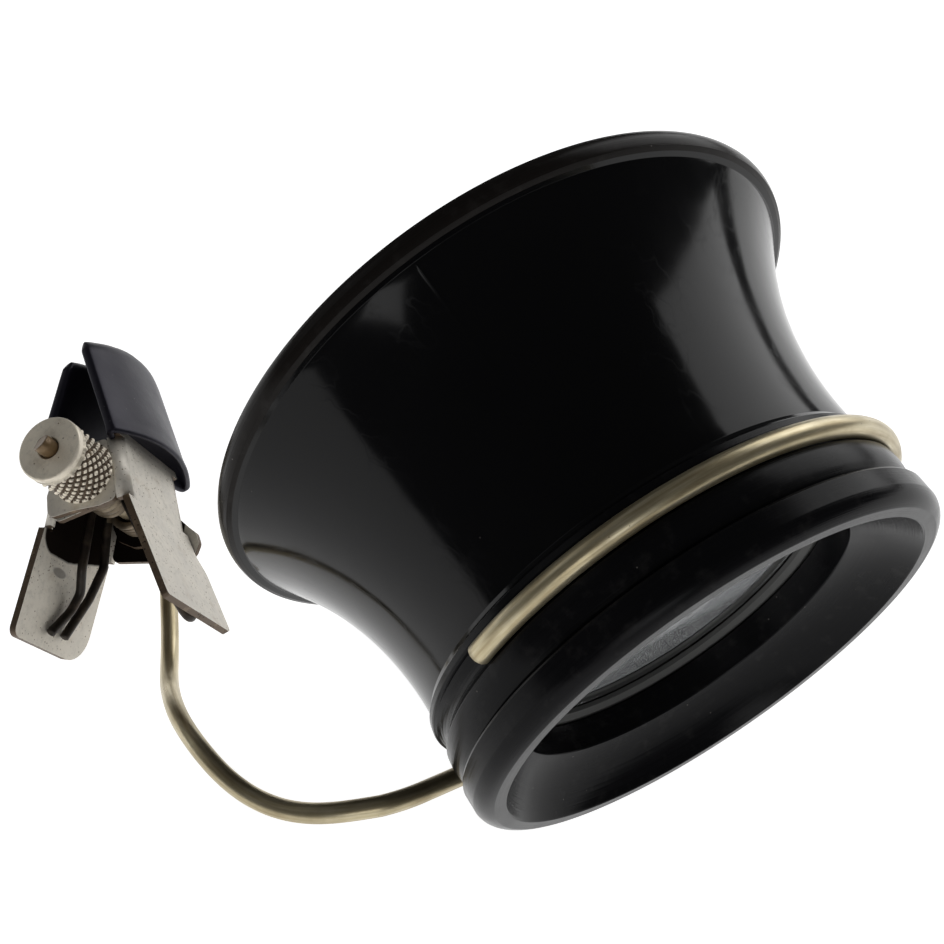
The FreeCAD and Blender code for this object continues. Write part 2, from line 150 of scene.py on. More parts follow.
def dense(line, gap, closed=True):
    """The same line with a point at least every gap, and one just beside each sharp corner."""
    count = len(line)
    sharp = []
    for index in range(count):
        before = line[index] - line[index - 1]
        after = line[(index + 1) % count] - line[index]
        inside = closed or 0 < index < count - 1
        sharp.append(inside and before.length > 0 and after.length > 0 and before.angle(after) > SHARP)
    out = []
    for index in range(count if closed else count - 1):
        start, finish = line[index], line[(index + 1) % count]
        length = (finish - start).length
        out.append(start)
        if length < 4 * GUARD:
            continue
        if sharp[index]:
            out.append(start.lerp(finish, GUARD / length))
        pieces = int(length / gap)
        out += [start.lerp(finish, piece / pieces) for piece in range(1, pieces)]
        if sharp[(index + 1) % count]:
            out.append(start.lerp(finish, 1 - GUARD / length))
    if not closed:
        out.append(line[-1])
    return out


# a mould seam's half width, and the extra columns of points beside it, in degrees
SEAM_HALF = 0.2
SEAM_COLUMNS = (-0.3, -0.12, 0.0, 0.12, 0.3)


def lathe(name, where, profile, segments=256, closed=True, seams=(), seam_height=0.0, seam_from=None):
    """A profile of (radius, z) turned about the frame's Z axis; seams are raised meridian lines."""
    angles = [2 * math.pi * index / segments for index in range(segments)]
    for seam in seams:
        angles += [math.radians(seam + offset) for offset in SEAM_COLUMNS]
    angles = sorted(angle % (2 * math.pi) for angle in angles)
    lengths = [0.0]
    for index in range(1, len(profile)):
        lengths.append(lengths[-1] + (profile[index] - profile[index - 1]).length)
    points, uvs = [], []
    for angle in angles:
        lift = 0.0
        for seam in seams:
            gap = abs(math.degrees(angle) - seam)
            lift = max(lift, seam_height * max(0.0, 1 - gap / SEAM_HALF))
        for index, (radius, z) in enumerate(profile):
            proud = lift if seam_from and seam_from(radius, z) else 0.0
            points.append((*polar(radius + proud, angle), z))
            uvs.append((angle / (2 * math.pi), lengths[index]))
    faces = turned_faces(len(angles), len(profile), closed)
    obj = new_mesh(name, points, faces, where, uvs)
    merge(obj)
    return obj


def turned_faces(columns, rows, closed=True):
    """The faces between columns of points that go right round an axis."""
    faces = []
    for column in range(columns):
        here, after = column * rows, (column + 1) % columns * rows
        for row in range(rows if closed else rows - 1):
            up = (row + 1) % rows
            faces.append((here + row, after + row, after + up, here + up))
    return faces


def tube_faces(rings, sides):
    """The faces between rings of points along a tube, and its two end caps."""
    faces = []
    for ring in range(rings - 1):
        here, later = ring * sides, (ring + 1) * sides
        for step in range(sides):
            after = (step + 1) % sides
            faces.append((here + step, here + after, later + after, later + step))
    faces.append(tuple(range(sides)))
    faces.append(tuple(range((rings - 1) * sides, rings * sides)))
    return faces


def merge(obj, gap=1e-6):
    """Join the points that coincide, in metres."""
    mesh = bmesh.new()
    mesh.from_mesh(obj.data)
    bmesh.ops.remove_doubles(mesh, verts=mesh.verts, dist=gap)
    bmesh.ops.dissolve_degenerate(mesh, edges=mesh.edges, dist=gap / 10)
    bmesh.ops.recalc_face_normals(mesh, faces=mesh.faces)
    mesh.to_mesh(obj.data)
    mesh.free()


END_LENGTH = 0.6


def sweep(name, where, line, radius, sides, ends, widths=None, slant=0.0):
    """A round wire along a line; ends is the share of the radius left at each end.

    widths scales the radius at each point, and slant tips the last end's cut, as a slope.
    """
    line = vectors(line)
    tangents = []
    for index in range(len(line)):
        before = line[max(index - 1, 0)]
        after = line[min(index + 1, len(line) - 1)]
        tangents.append((after - before).normalized())
    side = tangents[0].orthogonal().normalized()
    points, uvs = [], []
    length = 0.0
    rings = []
    for index, point in enumerate(line):
        tangent = tangents[index]
        side = (side - tangent * side.dot(tangent)).normalized()
        up = tangent.cross(side)
        if index:
            length += (point - line[index - 1]).length
        share = widths[index] if widths else 1.0
        rings.append((point, side.copy(), up, radius * share, length))
    first, last = rings[0], rings[-1]
    tip = radius * (1 - ends)
    before = first[0] - tangents[0] * tip * END_LENGTH
    beyond = last[0] + tangents[-1] * tip * END_LENGTH
    rings.insert(0, (before, first[1], first[2], radius * ends, -tip))
    rings.append((beyond, last[1], last[2], radius * ends, length + tip))
    for number, (point, side, up, size, run) in enumerate(rings):
        slope = slant if number >= len(rings) - 2 else 0.0
        for step in range(sides):
            angle = 2 * math.pi * step / sides
            across = side * math.cos(angle) * size + up * math.sin(angle) * size
            points.append(point + across + tangents[-1] * math.cos(angle) * size * slope)
            uvs.append((step / sides, run))
    obj = new_mesh(name, points, tube_faces(len(rings), sides), where, uvs)
    last_ring = (len(rings) - 2) * sides
    for index, polygon in enumerate(obj.data.polygons):
        if index < sides or index >= last_ring:
            polygon.use_smooth = False
    return obj


def arc_between(start, finish, radius, steps, left=True):
    """Points of an arc from start to finish that bows to the left of the way it goes."""
    start, finish = Vector(start), Vector(finish)
    along = finish - start
    rise = math.sqrt(max(radius ** 2 - (along.length / 2) ** 2, 0.0))
    side = Vector((-along.y, along.x)).normalized() * (1 if left else -1)
    centre = (start + finish) / 2 - side * rise
    first = start - centre
    last = finish - centre
    turn = first.angle_signed(last)
    return [centre + Matrix.Rotation(-turn * step / steps, 2) @ first for step in range(steps + 1)]


def fix(obj, body, slot_name, materials, *nodes):
    """The piece takes its materials, rides its body and stands for its CAD nodes."""
    places = [polygon.material_index for polygon in obj.data.polygons]
    obj.data.materials.clear()
    for item in materials:
        obj.data.materials.append(item)
    obj.data.polygons.foreach_set("material_index", places)
    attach(obj, body)
    if nodes:
        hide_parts(*nodes)


# ---------------------------------------------------------------- materials

def material(name, values):
    """A material and its principled shader, whose sockets take the plain values."""
    made = bpy.data.materials.new(name)
    made.use_nodes = True
    shader = made.node_tree.nodes["Principled BSDF"]
    for key, value in values.items():
        shader.inputs[key].default_value = value
    return made, shader


def join(node, links):
    """Link inputs of a node, by name or number, to output sockets."""
    for key, socket in links.items():
        node.id_data.links.new(socket, node.inputs[key])


def add(beside, kind, links=None, **values):
    """A node in the tree of another node or socket, with its values and links to its inputs."""
    node = beside.id_data.nodes.new(kind)
    for key, value in values.items():
        if hasattr(node, key) and key not in node.inputs:
            setattr(node, key, value)
        else:
            node.inputs[key].default_value = value
    join(node, links or {})
    return node


def coordinates(shader, kind="Object", scale=(1, 1, 1)):
    """Texture coordinates in millimetres, or the mesh's UV map, stretched by scale."""
    source = add(shader, "ShaderNodeTexCoord")
    factor = [value / MM if kind == "Object" else value for value in scale]
    mapping = add(source, "ShaderNodeMapping", {"Vector": source.outputs[kind]})
    mapping.inputs["Scale"].default_value = factor
    return mapping.outputs["Vector"]


def noise(vector, scale, detail, roughness=0.55):
    node = add(vector, "ShaderNodeTexNoise", {"Vector": vector}, Scale=scale, Detail=detail,
               Roughness=roughness)
    return node.outputs["Fac"]


def ramp(value, stops):
    """A colour ramp; stops are (position, colour)."""
    node = add(value, "ShaderNodeValToRGB", {"Fac": value})
    elements = node.color_ramp.elements
    while len(elements) < len(stops):
        elements.new(0.5)
    for element, (position, colour) in zip(elements, stops):
        element.position = position
        element.color = (*colour, 1)
    return node.outputs["Color"]


def grey_ramp(value, *stops):
    return ramp(value, [(position, (level, level, level)) for position, level in stops])


# the sockets of a Mix node that mixes colours
MIX_FACTOR = 0
MIX_COLOURS = (6, 7)
MIX_RESULT = 2


def mix(factor, first, second):
    """The mix of two colours by a factor's socket; a colour is a tuple or a socket."""
    node = add(factor, "ShaderNodeMix", {MIX_FACTOR: factor}, data_type="RGBA")
    for socket, value in zip(MIX_COLOURS, (first, second)):
        if isinstance(value, tuple):
            node.inputs[socket].default_value = (*value, 1)
        else:
            join(node, {socket: value})
    return node.outputs[MIX_RESULT]


def maths(operation, first, second=None):
    """A Math node; first and second are plain numbers or sockets."""
    socket = second if isinstance(first, (int, float)) else first
    node = add(socket, "ShaderNodeMath", operation=operation)
    for index, value in enumerate((first, second)):
        if isinstance(value, (int, float)):
            node.inputs[index].default_value = value
        elif value is not None:
            join(node, {index: value})
    return node.outputs[0]


def times(value, share):
    return maths("MULTIPLY", value, share)


def plus(first, second):
    return maths("ADD", first, second)


def surface(shader, colour, roughness):
    """The shader takes its colour and roughness from sockets."""
    join(shader, {"Base Color": colour, "Roughness": roughness})


def bump(shader, height, strength, distance):
    node = add(shader, "ShaderNodeBump", {"Height": height}, Strength=strength, Distance=distance)
    join(shader, {"Normal": node.outputs["Normal"]})


SPECK_CORE = 0.6


def specks(vector, scale, size):
    """1 in small scattered spots, fading out from SPECK_CORE of their size."""
    cells = add(vector, "ShaderNodeTexVoronoi", {"Vector": vector}, Scale=scale)
    return grey_ramp(cells.outputs["Distance"], (size * SPECK_CORE, 1), (size, 0))


SCRATCH_WIDTH = 0.012


def scratches(vector, scale, stretch):
    """1 along fine broken lines that run along the vector's stretched axis."""
    mapping = add(vector, "ShaderNodeMapping", {"Vector": vector})
    mapping.inputs["Scale"].default_value = stretch
    field = noise(mapping.outputs["Vector"], scale, 3.0)
    edge = maths("ABSOLUTE", maths("SUBTRACT", field, 0.5))
    return grey_ramp(edge, (0.0, 1), (SCRATCH_WIDTH, 0))


DUST = (0.30, 0.27, 0.25)


def cup_plastic():
    """Polished black plastic with dust, hairlines and a slow wave in its surface."""
    deep, faded = (0.0018, 0.0018, 0.0022), (0.0045, 0.0045, 0.005)
    made, shader = material("cup_black_gloss", {"IOR": 1.5, "Specular IOR Level": 0.17})
    place = coordinates(shader)
    cloud = noise(place, 0.09, 3.0)
    dust = specks(place, 0.42, 0.035)
    fine = specks(place, 1.3, 0.03)
    lines = scratches(place, 0.35, (1.0, 0.25, 1.0))
    marks = maths("MAXIMUM", times(lines, 0.25), fine)
    base = mix(cloud, deep, faded)
    colour = mix(times(dust, 0.5), base, DUST)
    rough = grey_ramp(noise(place, 0.25, 5.0), (0.3, 0.08), (0.75, 0.17))
    surface(shader, colour, plus(rough, times(marks, 0.25)))
    waves = noise(place, 0.16, 2.0)
    height = maths("SUBTRACT", waves, times(marks, 0.06))
    bump(shader, height, 0.25, 0.00012)
    return made


def ring_plastic(name, dark, light):
    """Turned black plastic: fine grooves round it between a dark and a light colour, worn grey."""
    worn_grey, dust_grey = (0.06, 0.057, 0.054), (0.25, 0.23, 0.21)
    made, shader = material(name, {"IOR": 1.5, "Specular IOR Level": 0.085})
    place = coordinates(shader)
    turned = coordinates(shader, "UV", (1.5, 14.0, 1.0))
    grooves = noise(turned, 1.0, 3.0)
    cloud = noise(place, 0.5, 5.0)
    base = mix(grooves, dark, light)
    wear = grey_ramp(noise(place, 1.1, 6.0), (0.56, 0), (0.75, 1))
    colour = mix(times(wear, 0.16), base, worn_grey)
    dust = specks(place, 0.8, 0.04)
    dusty = mix(times(dust, 0.5), colour, dust_grey)
    rough = grey_ramp(cloud, (0.3, 0.11), (0.7, 0.22))
    surface(shader, dusty, plus(rough, times(grooves, 0.08)))
    bump(shader, grooves, 0.35, 0.00003)
    return made


def brass_wire():
    """Drawn brass with streaks along it, dull brown patches and dark spots."""
    deep, middle, bright = (0.36, 0.29, 0.17), (0.52, 0.45, 0.29), (0.68, 0.61, 0.44)
    brown, black = (0.22, 0.17, 0.095), (0.05, 0.035, 0.02)
    made, shader = material("aged_brass_wire", {"Metallic": 0.8})
    place = coordinates(shader)
    drawn = coordinates(shader, "UV", (9.0, 0.16, 1.0))
    streaks = noise(drawn, 1.6, 6.0)
    patches = noise(place, 0.35, 6.0)
    base = ramp(streaks, [(0.3, deep), (0.5, middle), (0.72, bright)])
    tarnish = grey_ramp(patches, (0.42, 0), (0.68, 1))
    dull = mix(times(tarnish, 0.45), base, brown)
    spots = specks(place, 1.5, 0.06)
    colour = mix(times(spots, 0.7), dull, black)
    rough = grey_ramp(patches, (0.3, 0.27), (0.7, 0.42))
    surface(shader, colour, plus(rough, times(spots, 0.2)))
    bump(shader, maths("SUBTRACT", streaks, spots), 0.35, 0.00002)
    return made


PLATE_TINT = (0.765, 0.72, 0.635)
PLATE_PIT = (0.16, 0.11, 0.07)
STAIN = (0.36, 0.27, 0.17)


def shaded(colour, share):
    return tuple(value * share for value in colour)


def nickel(name, tint=PLATE_TINT, pit=PLATE_PIT, rust=0.35, rough_low=0.44, pit_size=0.2):
    """Worn plating: a cloudy, mottled tint with stains and pits; rust is the stains' strength."""
    made, shader = material(name, {"Metallic": 0.35})
    place = coordinates(shader)
    cloud = noise(place, 0.35, 6.0)
    grain = noise(place, 5.0, 4.0)
    base = mix(grey_ramp(cloud, (0.35, 0), (0.65, 1)), shaded(tint, 0.83), tint)
    mottle = grey_ramp(noise(place, 2.4, 6.0, 0.7), (0.5, 0), (0.72, 1))
    patchy = mix(times(mottle, 0.7), base, shaded(tint, 0.6))
    grainy = mix(times(grain, 0.25), patchy, shaded(tint, 0.62))
    gate = grey_ramp(noise(place, 0.7, 3.0), (0.36, 0), (0.56, 1))
    small = times(specks(place, 3.3, pit_size), gate)
    large = specks(place, 1.6, 0.1)
    pits = maths("MAXIMUM", small, large)
    patches = grey_ramp(noise(place, 0.8, 6.0), (0.58, 0), (0.75, 1))
    stained = mix(times(patches, rust), grainy, STAIN)
    colour = mix(times(pits, 0.85), stained, pit)
    rough = grey_ramp(cloud, (0.3, rough_low), (0.7, rough_low + 0.14))
    surface(shader, colour, plus(rough, times(pits, 0.35)))
    height = maths("SUBTRACT", times(grain, 0.3), pits)
    bump(shader, height, 0.5, 0.00004)
    return made


# the painted shadow inside the rear plate, in clip millimetres: its near side and lower edge, the radius
# of its corner, where its lower edge starts to climb and how steeply
PAINTED_SHADE_SIDE = 0.2
PAINTED_SHADE_FOOT = 4.66
PAINTED_SHADE_CORNER = 1.35
PAINTED_SHADE_CLIMB_FROM = 3.4
PAINTED_SHADE_CLIMB = 0.28
SPOT = (2.8, 5.5)
SPOT_HALF = (0.72, 0.3)
# where the painted shade on the ears' inner sides ends, and the near-black colour of all the painted shade
EAR_PAINTED_SHADE_END = 2.95
PAINTED_SHADE_BLACK = (0.010, 0.0075, 0.006)
SPOT_GREY = (0.16, 0.15, 0.14)


def split_map(shader):
    """The two values of the UV map."""
    place = add(shader, "ShaderNodeTexCoord")
    split = add(shader, "ShaderNodeSeparateXYZ", {"Vector": place.outputs["UV"]})
    return split.outputs["X"], split.outputs["Y"]


def plate_painted_shade(shader):
    """1 inside the painted shadow on the rear plate, a near-black patch; the UV map holds millimetres."""
    across, down = split_map(shader)
    wobble = times(noise(coordinates(shader), 1.2, 4.0), 0.16)
    climb = maths("MAXIMUM", maths("SUBTRACT", across, PAINTED_SHADE_CLIMB_FROM), 0.0)
    lower = plus(down, times(climb, PAINTED_SHADE_CLIMB))
    beside = maths("SUBTRACT", PAINTED_SHADE_SIDE + PAINTED_SHADE_CORNER, across)
    below = maths("SUBTRACT", lower, PAINTED_SHADE_FOOT - PAINTED_SHADE_CORNER)
    squares = [maths("POWER", maths("MAXIMUM", gap, 0.0), 2.0) for gap in (beside, below)]
    reach = maths("SQRT", plus(squares[0], squares[1]))
    edge = maths("SUBTRACT", plus(reach, wobble), PAINTED_SHADE_CORNER)
    return grey_ramp(plus(edge, 0.5), (0.5, 1), (0.66, 0))


def grey_spot(shader):
    """1 inside a grey oval on the rear lever."""
    squares = []
    for value, middle, half in zip(split_map(shader), SPOT, SPOT_HALF):
        share = maths("DIVIDE", maths("SUBTRACT", value, middle), half)
        squares.append(maths("POWER", share, 2.0))
    ring = times(plus(squares[0], squares[1]), 0.4)
    return times(grey_ramp(ring, (0.3, 1), (0.5, 0)), 0.7)


def ear_painted_shade(shader):
    """1 on an ear's inner side, where shade is painted, up to where the ear reaches out past the front
    plate.
    """
    across, _ = split_map(shader)
    return grey_ramp(maths("SUBTRACT", across, EAR_PAINTED_SHADE_END - 0.5), (0.45, 1), (0.55, 0))


def with_painted_shade(name, mask, spotted=False):
    """Worn nickel with painted shade, dark and dull, where the mask is 1."""
    made = nickel(name)
    shader = made.node_tree.nodes["Principled BSDF"]
    metal = shader.inputs["Base Color"].links[0].from_socket
    if spotted:
        metal = mix(grey_spot(shader), metal, SPOT_GREY)
    dark = mask(shader)
    bright = maths("SUBTRACT", 1.0, dark)
    join(shader, {"Base Color": mix(dark, metal, PAINTED_SHADE_BLACK)})
    join(shader, {"Specular IOR Level": times(bright, 0.5), "Metallic": times(bright, 0.35)})
    return made


def vinyl():
    """Soft blue-black vinyl with a faint sheen and dust."""
    deep, faded, dust_grey = (0.0045, 0.0042, 0.0065), (0.011, 0.0102, 0.017), (0.20, 0.19, 0.19)
    made, shader = material("soft_black_vinyl", {
        "IOR": 1.48, "Specular IOR Level": 0.34, "Specular Tint": (0.86, 0.83, 1.0, 1),
        "Sheen Weight": 0.05, "Sheen Roughness": 0.45, "Sheen Tint": (0.62, 0.60, 0.74, 1),
    })
    place = coordinates(shader)
    cloud = noise(place, 0.4, 5.0)
    grain = noise(place, 7.0, 3.0)
    base = mix(cloud, deep, faded)
    dust = specks(place, 1.1, 0.045)
    colour = mix(times(dust, 0.5), base, dust_grey)
    rough = grey_ramp(cloud, (0.3, 0.30), (0.7, 0.42))
    surface(shader, colour, plus(rough, times(grain, 0.08)))
    bump(shader, plus(cloud, times(grain, 0.12)), 0.3, 0.00012)
    return made


def spring_steel(name, low, middle, high):
    """Blackened spring wire, clouded from a low to a high colour."""
    made, shader = material(name, {"Metallic": 0.6})
    place = coordinates(shader)
    cloud = noise(place, 0.9, 6.0)
    base = ramp(cloud, [(0.3, low), (0.55, middle), (0.8, high)])
    surface(shader, base, grey_ramp(cloud, (0.3, 0.3), (0.7, 0.5)))
    bump(shader, noise(place, 4.0, 4.0), 0.4, 0.00003)
    return made


def optical_glass():
    """Clear glass with a bright reflecting face and a faint smear."""
    made, shader = material("optical_glass", {
        "IOR": 1.62, "Transmission Weight": 1.0, "Specular IOR Level": 1.0, "Metallic": 0.21,
        "Roughness": 0.0, "Coat Weight": 1.0, "Coat IOR": 3.0, "Coat Roughness": 0.0,
    })
    smear = noise(coordinates(shader), 0.2, 4.0)
    join(shader, {"Base Color": mix(smear, (0.97, 0.985, 0.99), (0.94, 0.955, 0.975))})
    return made


def floor_paper():
    """Plain white paper that glows a little, so that it stays pale in the shade."""
    made, shader = material("white_paper", {
        "Roughness": 0.85, "Specular IOR Level": 0.1, "Emission Color": (1, 1, 1, 1),
        "Emission Strength": 1.0,
    })
    fibres = noise(coordinates(shader), 0.6, 6.0)
    join(shader, {"Base Color": mix(fibres, (0.52, 0.52, 0.52), (0.56, 0.56, 0.56))})
    return made


CUP_BLACK = cup_plastic()
RING_BLACK = ring_plastic("ring_black_turned", (0.0025, 0.0025, 0.003), (0.008, 0.008, 0.009))
RIM_BLACK = ring_plastic("rim_black_worn", (0.0045, 0.004, 0.004), (0.018, 0.015, 0.013))
RETAINER_BLACK = ring_plastic("retainer_turned", (0.05, 0.05, 0.05), (0.13, 0.13, 0.125))
GLASS = optical_glass()
BRASS = brass_wire()
NICKEL = nickel("worn_nickel")
EDGE = nickel("worn_nickel_edge", (0.13, 0.088, 0.055), (0.03, 0.02, 0.012), 0.7, 0.45, 0.25)
NUT_FACE = nickel("nut_nickel", (0.97, 0.885, 0.73), (0.20, 0.14, 0.08), 0.4, 0.36, 0.1)
NUT_RECESS = nickel("nut_recess", (0.13, 0.09, 0.055), (0.04, 0.025, 0.015), 0.7, 0.45, 0.3)
TUBE_BRASS = nickel("tube_brass", (0.46, 0.38, 0.25), (0.10, 0.07, 0.04), 0.7, 0.35, 0.15)
VINYL = vinyl()
AXLE_BROWN = nickel("axle_brown", (0.22, 0.14, 0.065), (0.07, 0.04, 0.02), 0.8, 0.38, 0.2)
# the ears' and the rear plate's inner sides carry painted shade: near-black colour where the clip's parts
# cast their shadow
EAR_INSIDE_PAINTED_SHADE = with_painted_shade("worn_nickel_ear_inside_painted_shade", ear_painted_shade)
PLATE_INSIDE_PAINTED_SHADE = with_painted_shade("worn_nickel_inside_painted_shade", plate_painted_shade, True)
SPRING = spring_steel("spring_dark", (0.008, 0.007, 0.006), (0.028, 0.021, 0.016), (0.09, 0.066, 0.045))
# COIL is a lighter copy of the dark spring steel: painted light, standing for the coil lit by light off the
# front plate
COIL = spring_steel("spring_painted_lit", (0.06, 0.046, 0.032), (0.22, 0.175, 0.12), (0.42, 0.36, 0.26))


# ---------------------------------------------------------------- cup, ring and lens

def cup_profile():
    """Outside from the front to the rim, then inside back to the front, as (radius, z)."""
    outside = vectors([(12.78, 2.16), (14.2, 2.16)])
    outside += arc_between((14.3, 2.28), (14.5, 3.95), 3.0, 8, left=False)
    outside += arc_between((14.47, 4.02), (14.47, 5.38), 0.72, 10)
    outside += vectors([(14.5, 5.5), (14.44, 5.86), (14.2, 6.05), (14.09, 6.3)])
    outside += arc_between((14.08, 7.0), (18.42, 20.3), 21.3, 48)
    outside += vectors([(18.5, 20.42), (18.85, 20.47)])
    outside += arc_between((19.1, 20.6), (19.1, 21.74), 1.15, 10, left=False)
    outside += vectors([(19.02, 21.8), (18.15, 21.8), (17.95, 21.74)])
    inside = arc_between((17.5, 20.9), (12.3, 9.7), 22.0, 30, left=False)
    inside += vectors([(12.2, 9.45), (9.95, 9.0), (9.9, 8.9), (9.9, 8.15)])
    inside += vectors([(11.1, 8.1), (11.12, 4.6), (12.7, 4.5), (12.7, 2.25)])
    return dense(outside + inside, 0.3)


# the mould's two seams, in degrees round the cup, how proud they are and where they show, and the
# heights where the cup's finish changes
MOULD_SEAMS = (58.5, 238.5)
SEAM_HEIGHT = 0.03
SEAM_FROM_Z = 6.6
SEAM_TO_Z = 20.2
COLLAR_END_Z = 5.95
RIM_START_Z = 20.45


def on_flare(radius, z):
    """True on the outside of the flare, where the mould's seam shows."""
    middle_of_wall = 13.6 + (z - 7) ** 2 / 50
    return SEAM_FROM_Z < z < SEAM_TO_Z and radius > middle_of_wall


eyecup = lathe("eyecup_body", CUP, cup_profile(), 448, seams=MOULD_SEAMS,
               seam_height=SEAM_HEIGHT, seam_from=on_flare)
fix(eyecup, "cup", "cup_black", (CUP_BLACK, RING_BLACK, RIM_BLACK), "eyecup")
to_cup = CUP.inverted()
for polygon in eyecup.data.polygons:
    height = (to_cup @ polygon.center).z
    if height < COLLAR_END_Z:
        polygon.material_index = 1
    elif height > RIM_START_Z:
        polygon.material_index = 2


def ring_profile():
    """Front face, outer edge, back with its screwed spigot, bore and the dish to the face."""
    face = vectors([(13.24, 0.0), (13.95, 0.0)])
    edge = arc_between((14.0, 0.02), (14.72, 0.85), 1.1, 8, left=False)
    back = vectors([(14.72, 1.9), (14.66, 2.02), (14.55, 2.08), (12.7, 2.1)])
    back += vectors([(12.62, 2.2), (12.62, 4.38), (12.55, 4.45), (10.5, 4.45)])
    back += vectors([(10.42, 4.37), (10.42, 2.66)])
    dish = arc_between((10.46, 2.58), (13.18, 0.06), 6.0, 18)
    return dense(face + edge + back + dish, 0.5)


front_ring = lathe("front_ring_body", CUP, ring_profile(), 320)
fix(front_ring, "ring", "ring_black", [RING_BLACK], "front_ring")

RETAINER = [
    (9.95, 4.78), (10.3, 4.52), (10.95, 4.5), (11.05, 4.58), (11.05, 5.05), (9.95, 5.05),
]
retainer = lathe("retaining_ring_body", CUP, dense(vectors(RETAINER), 0.5), 256)
fix(retainer, "cup", "retainer_black", [RETAINER_BLACK], "retaining_ring")

LENS_CURVE = 62.0


def lens_profile():
    """Both curved faces, from the axis to the rim and back, and the flat rim between them."""
    front = arc_between((0.001, 4.31), (9.85, 5.1), LENS_CURVE, 24, left=False)
    back = arc_between((9.85, 8.05), (0.001, 8.84), LENS_CURVE, 24, left=False)
    rim = vectors([(9.86, 5.1), (10.95, 5.1), (11.05, 5.2)])
    rim += vectors([(11.05, 7.95), (10.95, 8.05)])
    return front + dense(rim, 1.0, False) + back


lens = lathe("lens_glass_body", CUP, lens_profile(), 256, closed=False)
fix(lens, "cup", "lens_glass", [GLASS], "lens")


# ---------------------------------------------------------------- wire frame

# the arm's bends, measured from the middle of the cup's front in the row's directions
ARM_CORNERS = [
    (-17.77, 5.76, -6.72), (-22.75, 10.28, -9.45), (-24.36, 17.45, -8.41),
    (-22.71, 24.22, -12.64), (-21.15, 27.73, -13.5),
]
# the loop's middle line: its circle in the cup's groove, the degrees where its open end and its
# arm's end are, and the straight run before the arm's first bend
LOOP_RADIUS = 14.66
LOOP_Z = 4.7
LOOP_START = 67.0
LOOP_END = 144.2
LOOP_RUN = 2.37
LOOP_STEPS = 150
ELBOW_Z = 10.9
ELBOW_BEND = 1.65
AXLE_END_Z = -5.1
WIRE_RADIUS = 0.6
WIRE_GAP = 0.4
AS_WIDE_AS_FITS = 99.0


def on_loop(degrees):
    """A point of the loop in the row's millimetres; 0 is at the top and 90 on the clip's side."""
    angle = math.radians(degrees)
    local = Vector((-math.sin(angle) * LOOP_RADIUS, -math.cos(angle) * LOOP_RADIUS, LOOP_Z))
    return (CUP @ local) / MM


def wire_line():
    """The wire's middle line: the loop's open end, round the cup, the arm, the elbow and the axle."""
    span = LOOP_END - LOOP_START - 360
    loop = [on_loop(LOOP_START + span * step / LOOP_STEPS) for step in range(LOOP_STEPS + 1)]
    along = (on_loop(LOOP_END - 0.5) - on_loop(LOOP_END + 0.5)).normalized()
    nose = CUP.translation / MM
    route = [loop[-1], loop[-1] + along * LOOP_RUN]
    route += [nose + Vector(corner) for corner in ARM_CORNERS]
    route += [(CLIP @ Vector((0, 0, ELBOW_Z))) / MM, (CLIP @ Vector((0, 0, AXLE_END_Z))) / MM]
    radii = [AS_WIDE_AS_FITS] * (len(route) - 2) + [ELBOW_BEND, 0.0]
    arm = rounded(route, radii, steps=16, closed=False)
    return loop + arm[1:]


def even(line, gap):
    """The line with a point about every gap."""
    out = []
    for start, finish in zip(line, line[1:]):
        pieces = max(1, int((finish - start).length / gap))
        out += [start.lerp(finish, piece / pieces) for piece in range(pieces)]
    return out + [line[-1]]


def eased(line, first, last, rounds):
    """The line with the points between two places drawn towards their neighbours."""
    for _ in range(rounds):
        middle = [(line[index - 1] + line[index] * 2 + line[index + 1]) / 4 for index in range(first, last)]
        line = line[:first] + middle + line[last:]
    return line


# the axle's brown stretch, the points at the elbow and axle that easing leaves alone, the rounds
# of easing, and the slope of the axle's cut end
AXLE_SHOWS = 7.0
ELBOW_KEEP = 60
EASING = 40
AXLE_SLANT = 0.75
wire_points = even(wire_line(), WIRE_GAP)
loop_length = math.radians(360 + LOOP_START - LOOP_END) * LOOP_RADIUS
arm_start = int(loop_length / WIRE_GAP) + 4
wire_points = eased(wire_points, arm_start, len(wire_points) - ELBOW_KEEP, EASING)
wire = sweep("wire_frame_body", ROW, wire_points, WIRE_RADIUS, 28, 0.86, slant=AXLE_SLANT)
fix(wire, "wire", "wire_brass", (BRASS, AXLE_BROWN), "wire_frame")
axle_tip = ROW @ wire_points[-1]
for polygon in wire.data.polygons:
    if (polygon.center - axle_tip).length < AXLE_SHOWS * MM:
        polygon.material_index = 1


# ---------------------------------------------------------------- clip plates

# a plate is SHEET thick; REAR_Z is where the rear plate starts along the pivot
SHEET = 0.45
PLATE_WIDTH = 8.0
REAR_Z = 0.62
# the outer radius of the bends to the ears, and how sharply the strip steps in beside them
FOLD = 0.85
NOTCH = 0.01
# where the lever starts to widen past the root, and over what length
SPREAD_FROM = 1.5
SPREAD_RUN = 1.6
STRIP_BEND = 1.3
STATION_GAP = 0.35
EDGE_BEVEL = 0.07
STRIP_COLUMNS = 20
SURFACE, CUT_EDGE, INNER_SIDE = 0, 1, 2
FRONT_FACE = [(-1.55, -8.9), (1.75, -2.9), (3.45, 1.4), (7.45, 7.72)]
REAR_FACE = [(-3.4, -7.7), (-3.85, -1.95), (-3.05, -0.6), (-3.05, 3.4), (-3.6, 10.4)]
FRONT_NEAR_EAR = [
    (0.997, -2.494), (2.614, 1.598), (1.42, 2.1), (-0.3, 2.45), (-2.1, 3.0), (-2.52, 1.5),
    (-2.3, -0.6), (-1.1, -1.9), (0.4, -2.3),
]
FRONT_FAR_EAR = [
    (0.997, -2.494), (2.614, 1.598), (1.42, 2.1), (-0.3, 2.3), (-1.6, 1.85), (-2.25, 0.8),
    (-2.25, -0.6), (-1.1, -1.9), (0.4, -2.3),
]
